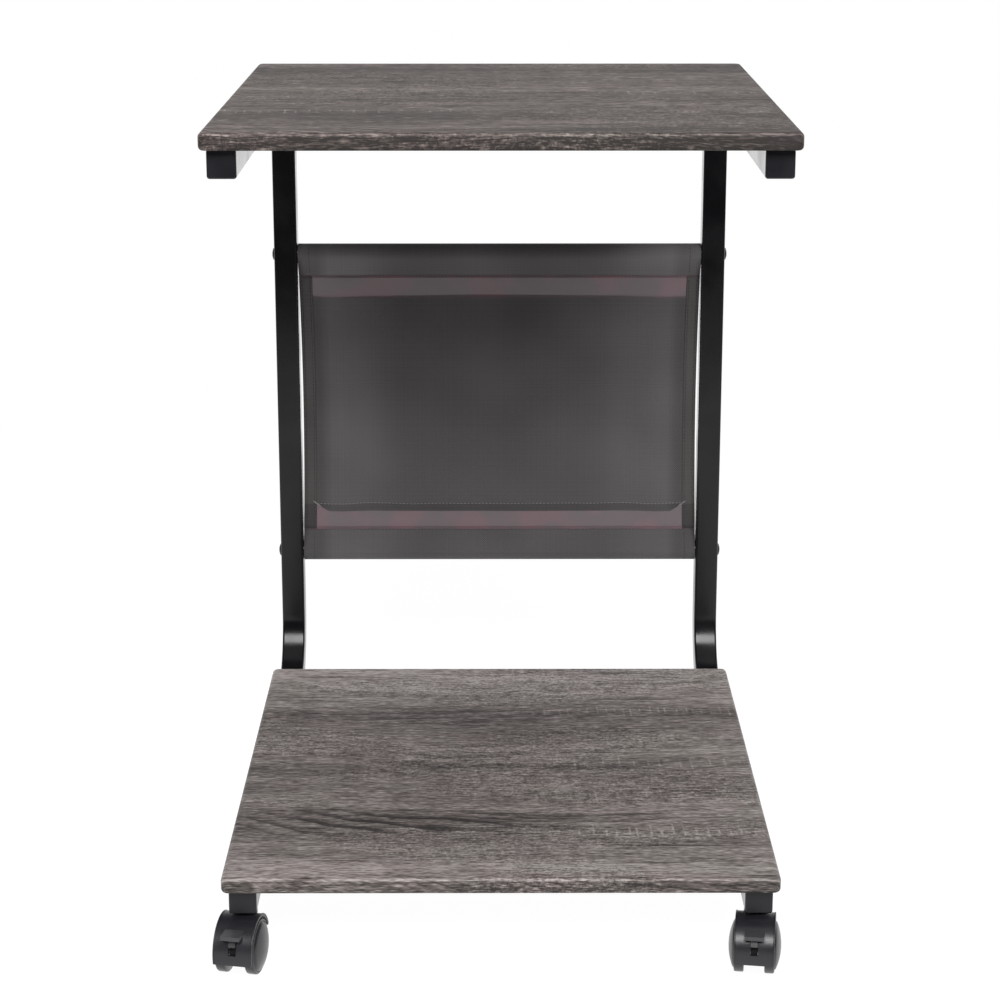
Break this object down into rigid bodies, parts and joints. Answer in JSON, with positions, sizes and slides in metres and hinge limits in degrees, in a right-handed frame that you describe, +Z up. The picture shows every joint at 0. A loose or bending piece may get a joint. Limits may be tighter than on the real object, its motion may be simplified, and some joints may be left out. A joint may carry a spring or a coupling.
{
  "type": "mobile printer stand",
  "caption": "Wheeled open-front stand: two boards on C-shaped square-tube side frames, a cloth sling with a rear pocket between crossbars, and swivel twin-wheel casters with front brakes.",
  "frame": {"origin": "centre of the whole stand's box, at floor level", "axes": "+Z up; +X to the right, seen from the open front; -Y towards the open front"},
  "size_m": [0.4144, 0.5194, 0.61],
  "materials": {
    "tube_paint": "semi-gloss black powder coat",
    "cap_plastic": "moulded black, satin",
    "board_laminate": "grey-brown weathered oak laminate, matt",
    "sling_cloth": "dark grey plain-weave oxford cloth",
    "black_steel": "black oxide bolts",
    "zinc_steel": "bright zinc plate",
    "caster_plastic": "moulded black nylon, satin"
  },
  "bodies": {
    "stand": {"left_side_frame": "tube_paint", "right_side_frame": "tube_paint", "top_left_end_cap": "cap_plastic", "top_right_end_cap": "cap_plastic", "bottom_left_end_cap": "cap_plastic", "bottom_right_end_cap": "cap_plastic", "upper_crossbar": "tube_paint", "lower_crossbar": "tube_paint", "crossbar_end_plugs": "zinc_steel", "crossbar_bolts": "black_steel", "top_board": "board_laminate", "bottom_board": "board_laminate", "board_inserts": "zinc_steel", "top_board_bolts": "black_steel", "bottom_board_bolts": "black_steel", "sling_panel": "sling_cloth", "pocket_panel": "sling_cloth", "sling_side_hems": "sling_cloth", "caster_sockets": "zinc_steel", "front_left_caster_stem": "zinc_steel", "front_right_caster_stem": "zinc_steel", "rear_left_caster_stem": "zinc_steel", "rear_right_caster_stem": "zinc_steel"},
    "front_left_caster": {"front_left_caster_hood": "caster_plastic", "front_left_caster_axle": "zinc_steel"},
    "front_left_left_wheel": {"front_left_left_wheel": "caster_plastic"},
    "front_left_right_wheel": {"front_left_right_wheel": "caster_plastic"},
    "front_left_brake": {"front_left_brake_lever": "caster_plastic"},
    "front_right_caster": {"front_right_caster_hood": "caster_plastic", "front_right_caster_axle": "zinc_steel"},
    "front_right_left_wheel": {"front_right_left_wheel": "caster_plastic"},
    "front_right_right_wheel": {"front_right_right_wheel": "caster_plastic"},
    "front_right_brake": {"front_right_brake_lever": "caster_plastic"},
    "rear_left_caster": {"rear_left_caster_hood": "caster_plastic", "rear_left_caster_axle": "zinc_steel"},
    "rear_left_left_wheel": {"rear_left_left_wheel": "caster_plastic"},
    "rear_left_right_wheel": {"rear_left_right_wheel": "caster_plastic"},
    "rear_right_caster": {"rear_right_caster_hood": "caster_plastic", "rear_right_caster_axle": "zinc_steel"},
    "rear_right_left_wheel": {"rear_right_left_wheel": "caster_plastic"},
    "rear_right_right_wheel": {"rear_right_right_wheel": "caster_plastic"}
  },
  "joints": [
    {"name": "front_left_swivel", "type": "hinge", "parent": "stand", "child": "front_left_caster", "pos_m": [-0.1855, -0.21994, 0.04], "axis": [0, 0, 1], "continuous": true},
    {"name": "front_left_left_wheel_spin", "type": "hinge", "parent": "front_left_caster", "child": "front_left_left_wheel", "pos_m": [-0.18779, -0.23172, 0.02], "axis": [0.9816, -0.1908, 0], "continuous": true},
    {"name": "front_left_right_wheel_spin", "type": "hinge", "parent": "front_left_caster", "child": "front_left_right_wheel", "pos_m": [-0.18779, -0.23172, 0.02], "axis": [0.9816, -0.1908, 0], "continuous": true},
    {"name": "front_left_brake_press", "type": "hinge", "parent": "front_left_caster", "child": "front_left_brake", "pos_m": [-0.18779, -0.23172, 0.02], "axis": [0.9816, -0.1908, 0], "range_deg": [0, 14]},
    {"name": "front_right_swivel", "type": "hinge", "parent": "stand", "child": "front_right_caster", "pos_m": [0.1855, -0.21994, 0.04], "axis": [0, 0, 1], "continuous": true},
    {"name": "front_right_left_wheel_spin", "type": "hinge", "parent": "front_right_caster", "child": "front_right_left_wheel", "pos_m": [0.18383, -0.23183, 0.02], "axis": [0.9903, -0.1392, 0], "continuous": true},
    {"name": "front_right_right_wheel_spin", "type": "hinge", "parent": "front_right_caster", "child": "front_right_right_wheel", "pos_m": [0.18383, -0.23183, 0.02], "axis": [0.9903, -0.1392, 0], "continuous": true},
    {"name": "front_right_brake_press", "type": "hinge", "parent": "front_right_caster", "child": "front_right_brake", "pos_m": [0.18383, -0.23183, 0.02], "axis": [0.9903, -0.1392, 0], "range_deg": [0, 14]},
    {"name": "rear_left_swivel", "type": "hinge", "parent": "stand", "child": "rear_left_caster", "pos_m": [-0.1855, 0.14906, 0.04], "axis": [0, 0, 1], "continuous": true},
    {"name": "rear_left_left_wheel_spin", "type": "hinge", "parent": "rear_left_caster", "child": "rear_left_left_wheel", "pos_m": [-0.18383, 0.16094, 0.02], "axis": [-0.9903, 0.1392, 0], "continuous": true},
    {"name": "rear_left_right_wheel_spin", "type": "hinge", "parent": "rear_left_caster", "child": "rear_left_right_wheel", "pos_m": [-0.18383, 0.16094, 0.02], "axis": [-0.9903, 0.1392, 0], "continuous": true},
    {"name": "rear_right_swivel", "type": "hinge", "parent": "stand", "child": "rear_right_caster", "pos_m": [0.1855, 0.14906, 0.04], "axis": [0, 0, 1], "continuous": true},
    {"name": "rear_right_left_wheel_spin", "type": "hinge", "parent": "rear_right_caster", "child": "rear_right_left_wheel", "pos_m": [0.18779, 0.16084, 0.02], "axis": [-0.9816, 0.1908, 0], "continuous": true},
    {"name": "rear_right_right_wheel_spin", "type": "hinge", "parent": "rear_right_caster", "child": "rear_right_right_wheel", "pos_m": [0.18779, 0.16084, 0.02], "axis": [-0.9816, 0.1908, 0], "continuous": true}
  ]
}
